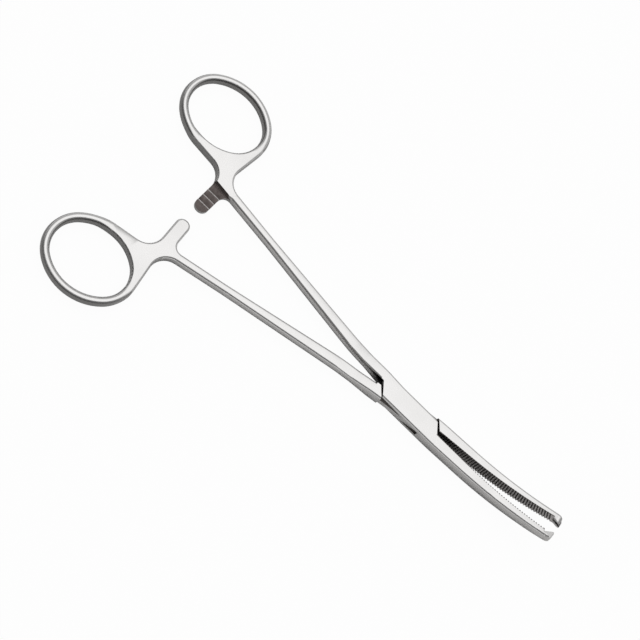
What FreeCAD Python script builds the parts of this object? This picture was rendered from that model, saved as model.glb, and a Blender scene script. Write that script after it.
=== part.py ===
"""Curved, toothed artery forceps with a box lock and a finger-ring ratchet.

Two stainless forgings cross in the lock: the box half is slotted and forms two plates, the tongue
half is thinned and passes between them, and one flush rivet holds both. Sizes are millimetres.

Each half is drawn in its own closed frame: the pivot is the origin, X runs to the jaw tip, the
shank and the ring lie on the +Y side, the jaw lies on the -Y side with its biting face on Y = 0,
and Z = 0 is the middle of the thickness. The tongue half is then mirrored. The finished part has
its jaws open by REST_OPENING, the tips curving up +Z, and the underside of the box on Z = 0.
"""
import FreeCAD
import Part
import math
import os

Vector = FreeCAD.Vector

# Overall proportions, with the jaws closed
OVERALL_LENGTH = 160.0      # rear of the finger rings to the middle of the jaw tips
JAW_REACH = 52.3            # pivot to jaw tip, along X
REST_OPENING = 5.2          # angle between the jaws as stored, degrees
EDGE_RADIUS = 0.7           # polished rounding of every outer edge, made as three narrow flats

# Finger rings
RING_LENGTH = 28.7          # outside, along X
RING_WIDTH = 24.5           # outside, across
RING_FLATTENING = 1.25      # half the width less the radius of the ring's two ends
RING_WIRE = 2.6             # width of the rim seen from above
RING_THICKNESS = 3.7        # also the thickness of neck and shank, and of both ratchet bars together
RING_OFFSET = 25.4          # ring centre to the closing line

# Shanks
SHANK_ANGLE = 7.0           # shank to the closing line, degrees
SHANK_ROOT_ANGLE = 3.1      # the same for its first stretch, behind the box
BOW_REACH = 23.0            # pivot to where the shank turns outward
WAIST_REACH = 18.2          # ratchet bar to where the shank is slimmest
BOW_RADIUS = 70.0
SHANK_ROOT_OFFSET = 2.0     # shank's middle to the closing line, at the rear of the box
SHANK_ROOT_WIDTH = 3.3
SHANK_BOW_WIDTH = 3.45
SHANK_WAIST_WIDTH = 2.25
SHANK_NECK_WIDTH = 2.4
ROOT_BLEND_LENGTH = 6.0     # run from the box's thickness down to the shank's
PROFILE_RADIUS = 14.0       # soft changes of thickness

# Neck, between shank, ring and ratchet bar
NECK_RADIUS = 5.2           # hollow on the ring side of the bar and behind the shank
NECK_FILL = 1.0             # ring's side to the hollow's corner, towards the closing line
CROOK_RADIUS = 2.4          # hollow between the bar and the shank

# Ratchet bars
BAR_WIDTH = 4.3
BAR_REAR_INSET = 3.5        # ring's front edge to the bar's rear side, along X
BAR_OVERLAP = 1.0           # how far a bar passes the closing line
BAR_CORNER_RADIUS = 2.0
BAR_GAP = 0.08              # running clearance between the two toothed faces
RATCHET_TEETH = 3
RATCHET_PITCH = 2.1
RATCHET_DEPTH = 0.5
RATCHET_CREST = 0.3         # flat left on each tooth
RATCHET_LEAD = 2.7          # bar end to its first groove

# Box lock
BOX_REACH = 10.6            # pivot to the crotch of the shanks
BOX_WIDTH = 6.6
BOX_THICKNESS = 5.3
CROTCH_GAP = 0.7            # space between the closed shanks, at the box
SHOULDER_ANGLE = 37.0       # ends of the plates, off square, degrees
SHOULDER_GAP = 0.25         # plates to the tongue half's shoulders, closed
WEB_ANGLE = 34.0            # walls of the slot, to the closing line, degrees
WEB_GAP = 0.1               # tongue to the slot's end walls, closed
TONGUE_THICKNESS = 1.9
SLOT_GAP = 0.05             # tongue to each plate

# Rivet
RIVET_RADIUS = 1.3
RIVET_RUNNING_GAP = 0.03    # rivet to the tongue's hole
RIVET_HEAD_RADIUS = 1.75
RIVET_HEAD_DEPTH = 0.5

# Jaws
BEND_START = 22.0           # pivot to where the jaws start to curve up
TIP_RISE = 6.9              # middle of the tip above the middle of the box
TIP_HEIGHT = 4.1            # across the biting face, at the tip
TIP_DEPTH = 1.6             # from the biting face to the back of the jaw, at the tip
TIP_CORNER_RADIUS = 1.6
TIP_BACK_RADIUS = 1.2       # corner between the jaw's back and its end
BITE_GAP = 0.1              # between the closed biting faces
SERRATION_PITCH = 0.83
SERRATION_WIDTH = 0.66
SERRATION_DEPTH = 0.34

# Teeth at the tips: one on the box half, between two on the tongue half
TOOTH_LENGTH = 2.4          # along the jaw, from its end
TOOTH_HEIGHT = 1.15         # single tooth, past the closing line
PAIR_HEIGHT = 0.85          # each of the pair, past the closing line
TOOTH_WIDTH = 1.4
TOOTH_CLEARANCE = 0.2       # between the teeth and the notches that they enter
TOOTH_CREST = 0.3           # flat length at a tooth's top

# Rounding of the edges
BEVEL_SHARE = 0.3675        # second bevel to first, so that the three flats are equally wide
BEVEL_TURNS = (30, 60)      # turns at the corners that the first bevel leaves, degrees

# Worked out from the sizes above
RING_CENTRE = Vector(JAW_REACH + RING_LENGTH / 2 - OVERALL_LENGTH, RING_OFFSET, 0)
HALF_BOX = BOX_WIDTH / 2
HALF_BOX_THICKNESS = BOX_THICKNESS / 2
BITE_Y = -BITE_GAP / 2
REACH = 2 * OVERALL_LENGTH      # long enough to pass through everything
HEIGHT = BOX_THICKNESS + TIP_RISE + TIP_HEIGHT


def direction(degrees):
    """Unit vector in the XY plane."""
    angle = math.radians(degrees)
    return Vector(math.cos(angle), math.sin(angle), 0)


def meet(point_a, direction_a, point_b, direction_b):
    """Point where two lines of the XY plane cross."""
    cross = direction_a.x * direction_b.y - direction_a.y * direction_b.x
    offset = point_b - point_a
    along = (offset.x * direction_b.y - offset.y * direction_b.x) / cross
    return point_a + direction_a * along


def rounded_edges(corners):
    """Edges of an open line through (point, radius) corners, its turns made tangent arcs."""
    edges = []
    start = corners[0][0]
    for (before, _), (corner, radius), (after, _) in zip(corners, corners[1:], corners[2:]):
        if radius == 0:
            edges.append(Part.makeLine(start, corner))
            start = corner
            continue
        back = (before - corner).normalize()
        ahead = (after - corner).normalize()
        half_turn = back.getAngle(ahead) / 2
        run = radius / math.tan(half_turn)
        bisector = (back + ahead).normalize()
        middle = corner + bisector * (radius / math.sin(half_turn) - radius)
        arc_start = corner + back * run
        arc_end = corner + ahead * run
        edges.append(Part.makeLine(start, arc_start))
        edges.append(Part.Arc(arc_start, middle, arc_end).toShape())
        start = arc_end
    edges.append(Part.makeLine(start, corners[-1][0]))
    return edges


def prism(points, travel):
    """Solid swept by a flat polygon."""
    return Part.Face(Part.makePolygon(points + points[:1])).extrude(travel)


def ring_arcs(inset):
    """Centre, radius and end angles of the four arcs of a ring's oval, set in from its outside.

    They run anticlockwise: the end nearest the box, the far side, the rear end, the near side.
    """
    end_radius = RING_WIDTH / 2 - RING_FLATTENING
    nose = Vector(RING_LENGTH / 2 - end_radius, 0, 0)
    rise = Vector(0, (nose.x ** 2 - RING_FLATTENING ** 2) / (2 * RING_FLATTENING), 0)
    side_radius = RING_WIDTH / 2 + rise.y
    join = math.atan2(rise.y, nose.x)
    return [
        (RING_CENTRE + nose, end_radius - inset, -join, join),
        (RING_CENTRE - rise, side_radius - inset, join, math.pi - join),
        (RING_CENTRE - nose, end_radius - inset, math.pi - join, math.pi + join),
        (RING_CENTRE + rise, side_radius - inset, math.pi + join, 2 * math.pi - join),
    ]


def arc_edge(centre, radius, start, end):
    """Anticlockwise arc in the XY plane."""
    circle = Part.Circle(centre, Vector(0, 0, 1), radius)
    return Part.ArcOfCircle(circle, start, end).toShape()


def touch_angle(point, centre, radius, side):
    """Angle on a circle where a line from the point touches it."""
    offset = point - centre
    return math.atan2(offset.y, offset.x) + side * math.acos(min(1, radius / offset.Length))


def on_circle(centre, radius, angle):
    """Point of a circle in the XY plane."""
    return centre + Vector(math.cos(angle), math.sin(angle), 0) * radius


def shank_edge(side):
    """Corners of the shank's inner (1) or outer (-1) edge, from the box to the ratchet bar."""
    first = direction(180 - SHANK_ROOT_ANGLE)
    rest = direction(180 - SHANK_ANGLE)
    root = Vector(-BOX_REACH, SHANK_ROOT_OFFSET, 0)
    bow = root + first * ((-BOW_REACH - root.x) / first.x)
    waist = bow + rest * ((bar_front() + WAIST_REACH - bow.x) / rest.x)
    neck = bow + rest * ((bar_front() - bow.x) / rest.x)
    widths = (SHANK_ROOT_WIDTH, SHANK_BOW_WIDTH, SHANK_WAIST_WIDTH, SHANK_NECK_WIDTH)
    corners = []
    for middle, width in zip((root, bow, waist, neck), widths):
        corners.append(middle - Vector(0, side * width / 2, 0))
    return corners


def root_line():
    """Inner edge of the shank where it leaves the box: a point and a direction."""
    root, bow = shank_edge(1)[:2]
    return root, (bow - root).normalize()


def neck_line(side):
    """Inner (1) or outer (-1) edge of the shank where it reaches the neck: a point and a direction."""
    waist, neck = shank_edge(side)[2:]
    return neck, (neck - waist).normalize()


def bar_rear():
    """X of the ratchet bar's side nearest the ring."""
    return RING_CENTRE.x + RING_LENGTH / 2 - BAR_REAR_INSET


def bar_front():
    """X of the ratchet bar's side nearest the box."""
    return bar_rear() + BAR_WIDTH


def web_line(gap):
    """Wall across the shank's root that a tongue passes, set back by a gap: a point and a direction."""
    heading = direction(WEB_ANGLE)
    normal = Vector(-heading.y, heading.x, 0)
    crotch = Vector(-BOX_REACH, CROTCH_GAP / 2, 0)
    return crotch - normal * gap, heading


def mirrored(point):
    """The point on the other side of the closing line."""
    return Vector(point.x, -point.y, point.z)


def blank_reach():
    """Half length of the lock's blank, which ends where the tongue leaves the shank's inner edge."""
    inner_point, inner_heading = root_line()
    wall_point, wall_heading = web_line(WEB_GAP)
    corner = meet(mirrored(wall_point), mirrored(wall_heading), inner_point, inner_heading)
    return -corner.x


def plan_face():
    """Outline of a half's forging seen from above, with the finger hole."""
    inner, outer = shank_edge(1), shank_edge(-1)
    root_point, root_heading = root_line()
    across = Vector(0, 1, 0)
    rear_x = -blank_reach()
    front_x = blank_reach()
    bar_end = -BAR_OVERLAP
    hollow = Vector(bar_rear(), RING_CENTRE.y - RING_WIDTH / 2 - NECK_FILL, 0)
    crook = meet(*neck_line(1), Vector(bar_front(), 0, 0), across)
    root = meet(root_point, root_heading, Vector(rear_x, 0, 0), across)
    flank = meet(outer[0], outer[1] - outer[0], Vector(0, HALF_BOX, 0), Vector(1, 0, 0))
    neck_x = RING_CENTRE.x + RING_LENGTH / 2 - RING_WIRE / 2
    neck = meet(*neck_line(-1), Vector(neck_x, 0, 0), across)
    over = JAW_REACH + TIP_HEIGHT
    taper = (HALF_BOX - TIP_DEPTH) / (JAW_REACH - BEND_START / 2)
    back = -HALF_BOX + taper * (over - BEND_START / 2)
    near_end, far_side, rear_end, near_side = ring_arcs(0)
    start = touch_angle(neck, near_end[0], near_end[1], 1)
    end = touch_angle(hollow, near_side[0], near_side[1], -1) + 2 * math.pi
    corners = [
        (on_circle(near_side[0], near_side[1], end), 0),
        (hollow, NECK_RADIUS),
        (Vector(bar_rear(), bar_end, 0), BAR_CORNER_RADIUS),
        (Vector(bar_front(), bar_end, 0), BAR_CORNER_RADIUS),
        (crook, CROOK_RADIUS),
        (inner[2], BOW_RADIUS),
        (inner[1], BOW_RADIUS),
        (root, 0),
        (Vector(rear_x, -HALF_BOX, 0), 0),
        (Vector(BEND_START / 2, -HALF_BOX, 0), JAW_REACH),
        (Vector(over, back, 0), 0),
        (Vector(over, BITE_Y, 0), 0),
        (Vector(front_x, BITE_Y, 0), 0),
        (Vector(front_x, HALF_BOX, 0), 0),
        (flank, PROFILE_RADIUS),
        (outer[1], BOW_RADIUS),
        (outer[2], BOW_RADIUS),
        (neck, NECK_RADIUS),
        (on_circle(near_end[0], near_end[1], start), 0),
    ]
    edges = rounded_edges(corners)
    edges.append(arc_edge(near_end[0], near_end[1], start, near_end[3]))
    edges += [arc_edge(*far_side), arc_edge(*rear_end)]
    edges.append(arc_edge(near_side[0], near_side[1], near_side[2], end))
    hole = [arc_edge(*arc) for arc in ring_arcs(RING_WIRE)]
    outline = Part.Face(Part.Wire(Part.__sortEdges__(edges)))
    return outline.cut(Part.Face(Part.Wire(Part.__sortEdges__(hole)))).Faces[0]


def bend_radius():
    """Radius of the arc that the jaws' middle line curves up in."""
    return ((JAW_REACH - BEND_START) ** 2 + TIP_RISE ** 2) / (2 * TIP_RISE)


def bend_angle():
    """Turn of the jaws' middle line from the bend's start to the tip."""
    return math.asin((JAW_REACH - BEND_START) / bend_radius())


def bend_frame(angle):
    """Unit vectors along the jaw and across its height, after a turn of its middle line."""
    along = Vector(math.cos(angle), 0, math.sin(angle))
    up = Vector(-math.sin(angle), 0, math.cos(angle))
    return along, up


def tip_frame():
    """Jaw's end: the middle, and unit vectors along the jaw and across its height."""
    along, up = bend_frame(bend_angle())
    return Vector(JAW_REACH, 0, TIP_RISE), along, up


def bend_edge(side):
    """Top (1) or bottom (-1) edge of the curved jaw in the side view, from the bend's start."""
    tip, along, up = tip_frame()
    start = Vector(BEND_START, 0, side * HALF_BOX_THICKNESS)
    end = tip + up * (side * TIP_HEIGHT / 2) - along * TIP_CORNER_RADIUS
    offset = end - start
    radius = (offset.x ** 2 + offset.z ** 2) / (2 * offset.z)
    half = math.asin(offset.x / radius) / 2
    middle = start + Vector(radius * math.sin(half), 0, radius * (1 - math.cos(half)))
    return start, end, Part.Arc(start, middle, end).toShape()


def profile_face():
    """Outline of a half's forging seen from the side, thickest at the box."""
    tip, along, up = tip_frame()
    rear = RING_CENTRE.x - RING_LENGTH
    knee = -blank_reach() - ROOT_BLEND_LENGTH
    edges = []
    for side in (1, -1):
        start, end, bend = bend_edge(side)
        corners = [
            (Vector(rear, 0, side * RING_THICKNESS / 2), 0),
            (Vector(knee, 0, side * RING_THICKNESS / 2), PROFILE_RADIUS),
            (Vector(-blank_reach(), 0, side * HALF_BOX_THICKNESS), PROFILE_RADIUS),
            (start, 0),
        ]
        edges += rounded_edges(corners)
        edges.append(bend)
        corner = end + along * TIP_CORNER_RADIUS
        nose = corner - up * (side * TIP_CORNER_RADIUS)
        inset = TIP_CORNER_RADIUS * (1 - math.sqrt(0.5))
        middle = corner - along * inset - up * (side * inset)
        edges.append(Part.Arc(end, middle, nose).toShape())
        edges.append(Part.makeLine(nose, tip))
    edges.append(Part.makeLine(Vector(rear, 0, RING_THICKNESS / 2), Vector(rear, 0, -RING_THICKNESS / 2)))
    return Part.Face(Part.Wire(Part.__sortEdges__(edges)))


def side_slab():
    """The side view swept across the whole half."""
    slab = profile_face().extrude(Vector(0, REACH, 0))
    slab.translate(Vector(0, -REACH / 2, 0))
    return slab


def on_lock_face(point):
    """Whether a point is on the lock's square ends or on the biting face, which stay sharp."""
    slack = EDGE_RADIUS / 10
    at_end = abs(abs(point.x) - blank_reach()) < slack and abs(point.y) < HALF_BOX - slack
    return at_end or (point.x > blank_reach() - slack and point.y > BITE_Y - slack)


def between_faces(shape, edge):
    """Angle between the outward normals of the two faces that meet at an edge, in degrees."""
    middle = edge.valueAt((edge.FirstParameter + edge.LastParameter) / 2)
    normals = []
    for face in shape.ancestorsOfType(edge, Part.Face):
        normals.append(face.normalAt(*face.Surface.parameter(middle)))
    return math.degrees(normals[0].getAngle(normals[-1]))


def softened(blank, rims):
    """Round the rims in three narrow flats: a bevel, whose two corners are bevelled again."""
    bevelled = blank.makeChamfer(EDGE_RADIUS / (1 + BEVEL_SHARE), rims)
    corners = []
    for edge in bevelled.Edges:
        if BEVEL_TURNS[0] < between_faces(bevelled, edge) < BEVEL_TURNS[1]:
            corners.append(edge)
    return bevelled.makeChamfer(EDGE_RADIUS * BEVEL_SHARE / (1 + BEVEL_SHARE), corners)


def round_tip(half):
    """Round the corner between the jaw's back and its end."""
    tip, along, up = tip_frame()
    low = -TIP_DEPTH - TIP_HEIGHT
    high = -TIP_DEPTH + TIP_BACK_RADIUS
    corner = tip_block(-TIP_BACK_RADIUS, TIP_HEIGHT, low, high, -TIP_HEIGHT, TIP_HEIGHT)
    centre = tip - along * TIP_BACK_RADIUS + Vector(0, high, 0) - up * TIP_HEIGHT
    return half.cut(corner.cut(Part.makeCylinder(TIP_BACK_RADIUS, 2 * TIP_HEIGHT, centre, up)))


def forging():
    """Blank that both halves are cut from: ring, neck, shank, bar, lock block and jaw, edges rounded."""
    plan = plan_face()
    plan.translate(Vector(0, 0, -HEIGHT))
    blank = plan.extrude(Vector(0, 0, 2 * HEIGHT)).common(side_slab())
    blank = blank.Solids[0]
    rims = []
    for edge in blank.Edges:
        middle = edge.valueAt((edge.FirstParameter + edge.LastParameter) / 2)
        upright = abs(edge.tangentAt(edge.FirstParameter).z) > math.cos(math.radians(SHOULDER_ANGLE))
        if not upright and not on_lock_face(middle):
            rims.append(edge)
    return round_tip(softened(blank, rims))


def strip(degrees, half_width, low, high):
    """Long slab through the pivot: its sides stand half_width from it, its length lies at an angle."""
    slab = Part.makeBox(REACH, 2 * half_width, high - low, Vector(-REACH / 2, -half_width, low))
    slab.rotate(Vector(0, 0, 0), Vector(0, 0, 1), degrees)
    return slab


def plate_reach():
    """Distance from the pivot to the line of a plate's end."""
    crotch = Vector(-BOX_REACH, CROTCH_GAP / 2, 0)
    return -crotch.dot(direction(SHOULDER_ANGLE))


def cut_plate_ends(half):
    """Trim the box plates to their slanted ends, leaving shank and jaw whole beyond them."""
    inner_point, inner_heading = root_line()
    end_heading = direction(SHOULDER_ANGLE + 90)
    end_point = direction(SHOULDER_ANGLE) * plate_reach()
    rear_corner = meet(end_point * -1, end_heading, inner_point, inner_heading)
    front_corner = meet(end_point, end_heading, Vector(0, BITE_Y, 0), Vector(1, 0, 0))
    far = blank_reach() + BOX_WIDTH
    rear = [rear_corner, rear_corner - end_heading * BOX_WIDTH, Vector(-far, -BOX_WIDTH, 0)]
    rear.append(inner_point + inner_heading * (far - BOX_REACH))
    front = [front_corner, front_corner + end_heading * BOX_WIDTH, Vector(far, BOX_WIDTH, 0)]
    front.append(Vector(far, BITE_Y, 0))
    for notch in (rear, front):
        cutter = prism(notch, Vector(0, 0, 2 * HEIGHT))
        cutter.translate(Vector(0, 0, -HEIGHT))
        half = half.cut(cutter)
    return half


def cut_slot(half):
    """Slot through the box that the tongue swings in."""
    wall_point, wall_heading = web_line(0)
    normal = Vector(-wall_heading.y, wall_heading.x, 0)
    half_height = TONGUE_THICKNESS / 2 + SLOT_GAP
    return half.cut(strip(WEB_ANGLE, wall_point.dot(normal), -half_height, half_height))


def cut_tongue(half):
    """Trim the tongue's flanks to clear the slot's walls, and thin it between its shoulders."""
    wall_point, wall_heading = web_line(WEB_GAP)
    normal = Vector(-wall_heading.y, wall_heading.x, 0)
    width = wall_point.dot(normal)
    block = Part.makeBox(2 * blank_reach() + BOX_WIDTH, 2 * BOX_WIDTH, 2 * HEIGHT,
                         Vector(-blank_reach() - HALF_BOX, -BOX_WIDTH, -HEIGHT))
    inner_point, inner_heading = root_line()
    far = blank_reach() + BOX_WIDTH
    keep_shank = prism([inner_point - inner_heading * BOX_REACH, inner_point + inner_heading * far,
                        Vector(-far, 2 * BOX_WIDTH, 0), Vector(0, 2 * BOX_WIDTH, 0)],
                       Vector(0, 0, 2 * HEIGHT))
    keep_shank.translate(Vector(0, 0, -HEIGHT))
    keep_jaw = Part.makeBox(REACH, 2 * BOX_WIDTH, 2 * HEIGHT,
                            Vector(0, BITE_Y - 2 * BOX_WIDTH, -HEIGHT))
    between = block.cut(keep_shank).cut(keep_jaw)
    half = half.cut(between.cut(strip(-WEB_ANGLE, width, -HEIGHT, HEIGHT)))
    shoulder = plate_reach() + SHOULDER_GAP
    across = 90 - SHOULDER_ANGLE
    for low, high in ((TONGUE_THICKNESS / 2, HEIGHT), (-HEIGHT, -TONGUE_THICKNESS / 2)):
        thinned = strip(across, shoulder, low, high)
        half = half.cut(thinned.fuse(between.common(strip(0, BOX_WIDTH, low, high))))
    return half


def cut_ratchet(half, level):
    """Halve the bar's thickness on one side (1 upper, -1 lower) and cut its sawteeth."""
    inner_point, inner_heading = neck_line(1)
    ring_side = inner_point + inner_heading * ((bar_rear() - NECK_RADIUS - inner_point.x) / inner_heading.x)
    box_side = inner_point + inner_heading * ((bar_front() + NECK_RADIUS - inner_point.x) / inner_heading.x)
    low = -BAR_OVERLAP - BAR_WIDTH
    away = Vector(0, 0, level * HEIGHT)
    face = Vector(0, 0, -level * BAR_GAP / 2)
    area = [ring_side + face, box_side + face]
    area += [Vector(box_side.x, low, face.z), Vector(ring_side.x, low, face.z)]
    half = half.cut(prism(area, away))
    width = bar_front() - bar_rear() + 2 * NECK_RADIUS
    for tooth in range(RATCHET_TEETH):
        near = RATCHET_LEAD - BAR_OVERLAP + tooth * RATCHET_PITCH
        far = near + RATCHET_PITCH - RATCHET_CREST
        top = face.z + level * EDGE_RADIUS
        root = face.z - level * RATCHET_DEPTH
        x = bar_rear() - NECK_RADIUS
        groove = [Vector(x, near, top), Vector(x, near, root), Vector(x, far, face.z), Vector(x, far, top)]
        half = half.cut(prism(groove, Vector(width, 0, 0)))
    return half


def serration_station(distance):
    """Place on the jaw's middle line, with unit vectors along and up, by distance along it."""
    if distance < BEND_START:
        return Vector(distance, 0, 0), *bend_frame(0)
    radius = bend_radius()
    angle = (distance - BEND_START) / radius
    place = Vector(BEND_START + radius * math.sin(angle), 0, radius * (1 - math.cos(angle)))
    return place, *bend_frame(angle)


def jaw_length():
    """Distance from the pivot to the tip, along the jaw's middle line."""
    return BEND_START + bend_radius() * bend_angle()


def cut_serrations(half, phase):
    """V grooves across the biting face, from the box to the teeth at the tip."""
    first = blank_reach() + SERRATION_PITCH * (0.5 + phase)
    last = jaw_length() - TOOTH_LENGTH - SERRATION_PITCH / 2
    count = int((last - first) / SERRATION_PITCH) + 1
    grooves = []
    for index in range(count):
        place, along, up = serration_station(first + index * SERRATION_PITCH)
        half_height = up * BOX_THICKNESS
        mouth = Vector(0, BITE_Y + SERRATION_DEPTH, 0)
        points = [
            place + along * SERRATION_WIDTH + mouth - half_height,
            place + Vector(0, BITE_Y - SERRATION_DEPTH, 0) - half_height,
            place - along * SERRATION_WIDTH + mouth - half_height,
        ]
        grooves.append(prism(points, half_height * 2))
    return half.cut(Part.makeCompound(grooves))


def tip_block(back, front, low, high, near, far):
    """Block at the tip, placed by distances along the jaw, across its depth and across its height."""
    tip, along, up = tip_frame()
    points = [tip + along * x + Vector(0, y, 0) + up * near
              for x, y in ((back, low), (front, low), (front, high), (back, high))]
    return prism(points, up * (far - near))


def tooth(height, near, far):
    """Tooth that rises along the jaw to its end, between two distances across the jaw's height."""
    tip, along, up = tip_frame()
    root = BITE_Y - EDGE_RADIUS / 2
    shape = [(-TOOTH_LENGTH, root), (TIP_DEPTH, root), (TIP_DEPTH, height),
             (-TOOTH_CREST, height), (-TOOTH_LENGTH, BITE_Y)]
    points = [tip + along * x + Vector(0, y, 0) + up * near for x, y in shape]
    return prism(points, up * (far - near)).common(side_slab())


def add_single_tooth(half):
    """Box half's tip: one tooth in the middle, and room on both sides for the other jaw's pair."""
    side = TOOTH_WIDTH / 2
    for sign in (1, -1):
        pocket = tip_block(-TOOTH_LENGTH, TIP_HEIGHT, -PAIR_HEIGHT - TOOTH_CLEARANCE, TIP_DEPTH,
                           sign * side, sign * TIP_HEIGHT)
        half = half.cut(pocket)
    return half.fuse(tooth(TOOTH_HEIGHT, -side, side)).removeSplitter()


def add_tooth_pair(half):
    """Tongue half's tip: two teeth with a notch between them."""
    side = TOOTH_WIDTH / 2 + TOOTH_CLEARANCE
    for sign in (1, -1):
        half = half.fuse(tooth(PAIR_HEIGHT, sign * side, sign * TIP_HEIGHT / 2))
    notch = tip_block(-TOOTH_LENGTH - TOOTH_CLEARANCE, TIP_HEIGHT, -TOOTH_HEIGHT - TOOTH_CLEARANCE,
                      TIP_DEPTH, -side, side)
    return half.cut(notch).removeSplitter()


def rivet():
    """Flush rivet, swelled into a countersink in each plate."""
    top = HALF_BOX_THICKNESS
    neck = top - RIVET_HEAD_DEPTH
    section = [Vector(0, 0, -top), Vector(RIVET_HEAD_RADIUS, 0, -top), Vector(RIVET_RADIUS, 0, -neck),
               Vector(RIVET_RADIUS, 0, neck), Vector(RIVET_HEAD_RADIUS, 0, top), Vector(0, 0, top)]
    face = Part.Face(Part.makePolygon(section + section[:1]))
    return face.revolve(Vector(0, 0, 0), Vector(0, 0, 1), 360)


def box_half():
    """Half with the slotted box, the lower ratchet bar and the single tooth."""
    half = cut_plate_ends(forging())
    half = cut_slot(half).cut(rivet())
    half = cut_ratchet(half, 1)
    half = add_single_tooth(half)
    return cut_serrations(half, 0)


def tongue_half():
    """Half with the tongue, the upper ratchet bar and the pair of teeth."""
    half = cut_tongue(forging())
    radius = RIVET_RADIUS + RIVET_RUNNING_GAP
    bore = Part.makeCylinder(radius, BOX_THICKNESS, Vector(0, 0, -HALF_BOX_THICKNESS))
    half = cut_ratchet(half.cut(bore), -1)
    half = add_tooth_pair(half)
    half = cut_serrations(half, 0.5)
    return half.mirror(Vector(0, 0, 0), Vector(0, 1, 0))


def placed(shape, opening):
    """The shape turned about the pivot and stood on the underside of the box."""
    shape = shape.copy()
    shape.rotate(Vector(0, 0, 0), Vector(0, 0, 1), opening)
    shape.translate(Vector(0, 0, HALF_BOX_THICKNESS))
    return shape


def main():
    """Build every piece and write one file for each."""
    pieces = {
        "box_half": placed(box_half(), -REST_OPENING / 2),
        "tongue_half": placed(tongue_half(), REST_OPENING / 2),
        "lock_rivet": placed(rivet(), -REST_OPENING / 2),
    }
    os.makedirs("parts", exist_ok=True)
    for name, shape in pieces.items():
        solids = shape.Solids
        print(name, "solids", len(solids), "valid", shape.isValid(), "volume", round(shape.Volume, 1))
        Part.makeCompound(solids).exportStep(os.path.join("parts", name + ".step"))


if __name__ == "__main__":
    main()
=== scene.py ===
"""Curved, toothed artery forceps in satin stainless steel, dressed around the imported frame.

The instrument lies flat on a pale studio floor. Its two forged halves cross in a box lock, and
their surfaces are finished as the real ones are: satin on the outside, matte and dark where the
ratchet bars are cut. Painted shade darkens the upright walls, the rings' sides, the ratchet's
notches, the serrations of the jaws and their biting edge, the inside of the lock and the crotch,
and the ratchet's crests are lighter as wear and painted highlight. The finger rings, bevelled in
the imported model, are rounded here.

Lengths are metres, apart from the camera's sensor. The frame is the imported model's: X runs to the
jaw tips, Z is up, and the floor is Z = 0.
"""
from __future__ import annotations

import logging
import math
from dataclasses import dataclass, replace
from enum import Enum

import bmesh
import bpy
from mathutils import Matrix, Vector

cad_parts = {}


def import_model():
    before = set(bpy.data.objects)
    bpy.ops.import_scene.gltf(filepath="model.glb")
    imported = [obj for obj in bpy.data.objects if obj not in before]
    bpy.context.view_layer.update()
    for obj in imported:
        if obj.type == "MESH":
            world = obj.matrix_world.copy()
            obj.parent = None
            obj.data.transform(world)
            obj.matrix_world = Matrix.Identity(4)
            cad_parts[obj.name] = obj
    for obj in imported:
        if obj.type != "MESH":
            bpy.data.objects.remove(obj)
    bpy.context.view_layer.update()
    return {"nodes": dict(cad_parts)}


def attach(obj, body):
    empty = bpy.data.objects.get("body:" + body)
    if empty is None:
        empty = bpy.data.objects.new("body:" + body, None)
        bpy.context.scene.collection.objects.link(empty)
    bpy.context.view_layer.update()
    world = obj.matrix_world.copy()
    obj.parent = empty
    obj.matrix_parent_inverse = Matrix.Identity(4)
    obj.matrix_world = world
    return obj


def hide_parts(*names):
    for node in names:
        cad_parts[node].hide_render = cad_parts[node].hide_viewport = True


LOG = logging.getLogger("artery_forceps")
MM = 0.001
Colour = tuple[float, float, float]
Socket = bpy.types.NodeSocket


class Region(Enum):
    """Kinds of surface on a forged half."""

    SATIN = "satin"
    JAW = "jaw"
    WALL = "wall"
    CROTCH = "crotch wall"
    RATCHET = "ratchet"
    SERRATION = "jaw serration"
    LOCK = "lock wall"


@dataclass(frozen=True)
class SteelFinish:
    """A finish of the stainless steel.

    Attributes:
        light: Base colour of the brighter patches.
        dark: Base colour of the duller patches.
        smooth: Roughness of the brighter patches.
        dull: Roughness of the duller patches.
        line_pitch: Spacing of the polishing lines.
        line_length: Length of a polishing line.
        line_depth: Depth of a polishing line, for the bump.
        patch_size: Size of the brighter and duller patches.
    """

    light: Colour
    dark: Colour
    smooth: float
    dull: float
    line_pitch: float
    line_length: float
    line_depth: float
    patch_size: float


@dataclass(frozen=True)
class Fade:
    """Change of the steel's colour along one coordinate, such as painted shade down a groove.

    Attributes:
        colour: Base colour at the far end of the fade.
        axis: Coordinate of the closed frame that it follows: 0 for X, 1 for Y and 2 for Z.
        start: Coordinate where it begins.
        end: Coordinate where it is complete.
    """

    colour: Colour
    axis: int
    start: float
    end: float


@dataclass(frozen=True)
class Stripes:
    """Narrow lines across a face at an even pitch, such as the crests of teeth, lighter as wear and
    painted highlight.

    Attributes:
        colour: Base colour of the lines.
        axis: Coordinate of the closed frame that they repeat along.
        first: Coordinate of the middle of the first line.
        pitch: Distance from one line to the next.
        width: Width of a line.
        count: How many there are.
    """

    colour: Colour
    axis: int
    first: float
    pitch: float
    width: float
    count: int


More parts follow.
